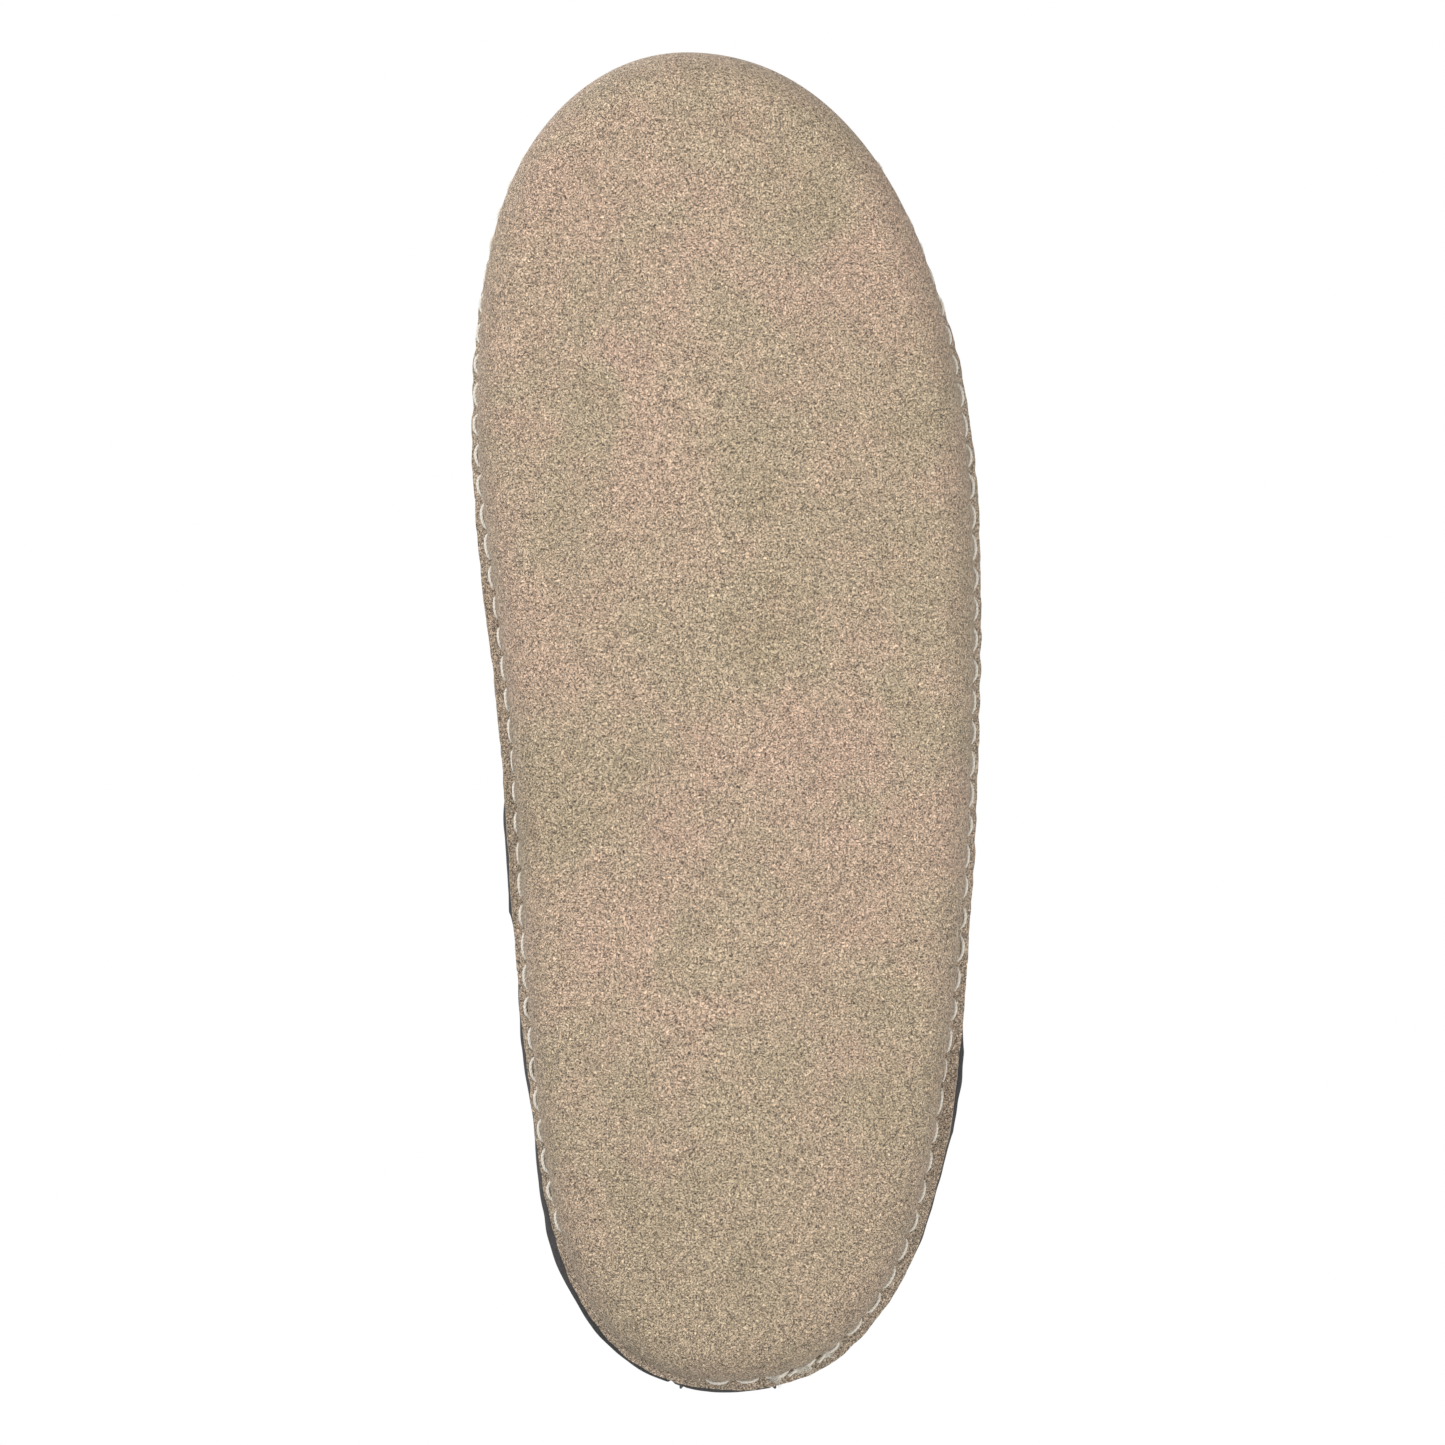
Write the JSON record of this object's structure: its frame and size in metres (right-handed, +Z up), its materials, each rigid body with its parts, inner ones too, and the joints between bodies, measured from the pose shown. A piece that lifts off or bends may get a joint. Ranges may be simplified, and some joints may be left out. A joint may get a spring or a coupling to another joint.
{
  "type": "moccasin",
  "caption": "Soft-soled slip-on moccasin for the left foot, with a wrapped suede sole hand-sewn to a padded suede upper with an apron toe.",
  "frame": {"origin": "centre of the shoe's outline, on the ground under the tread", "axes": "+Z up, the toe points along -Y and the heel along +Y, and +X is the outer side of the left foot"},
  "size_m": [0.1028, 0.2704, 0.0709],
  "materials": {
    "sole_suede": "tan suede with a short brushed nap",
    "upper_suede": "charcoal suede with a matte nap",
    "binding": "thin folded charcoal leather",
    "fleece": "natural wool fleece pile",
    "foam": "open-cell foam",
    "board": "pressed fibre board",
    "seam_thread": "thick off-white twisted thread",
    "fine_thread": "fine charcoal sewing thread"
  },
  "bodies": {
    "root": {"outsole": "sole_suede", "sole_filler": "foam", "heel_pad": "foam", "insole_board": "board", "footbed": "fleece", "vamp_wall": "upper_suede", "apron": "upper_suede", "quarter_medial": "upper_suede", "quarter_lateral": "upper_suede", "backstay": "upper_suede", "heel_counter": "board", "collar_padding": "foam", "vamp_lining": "fleece", "quarter_lining_medial": "fleece", "quarter_lining_lateral": "fleece", "collar_binding": "binding", "sole_seam_stitches": "seam_thread", "seam_thread_ends": "seam_thread", "apron_seam_stitches": "seam_thread", "side_seam_stitches_medial": "fine_thread", "side_seam_stitches_lateral": "fine_thread", "backstay_stitches": "fine_thread", "binding_stitches": "fine_thread"}
  },
  "joints": []
}
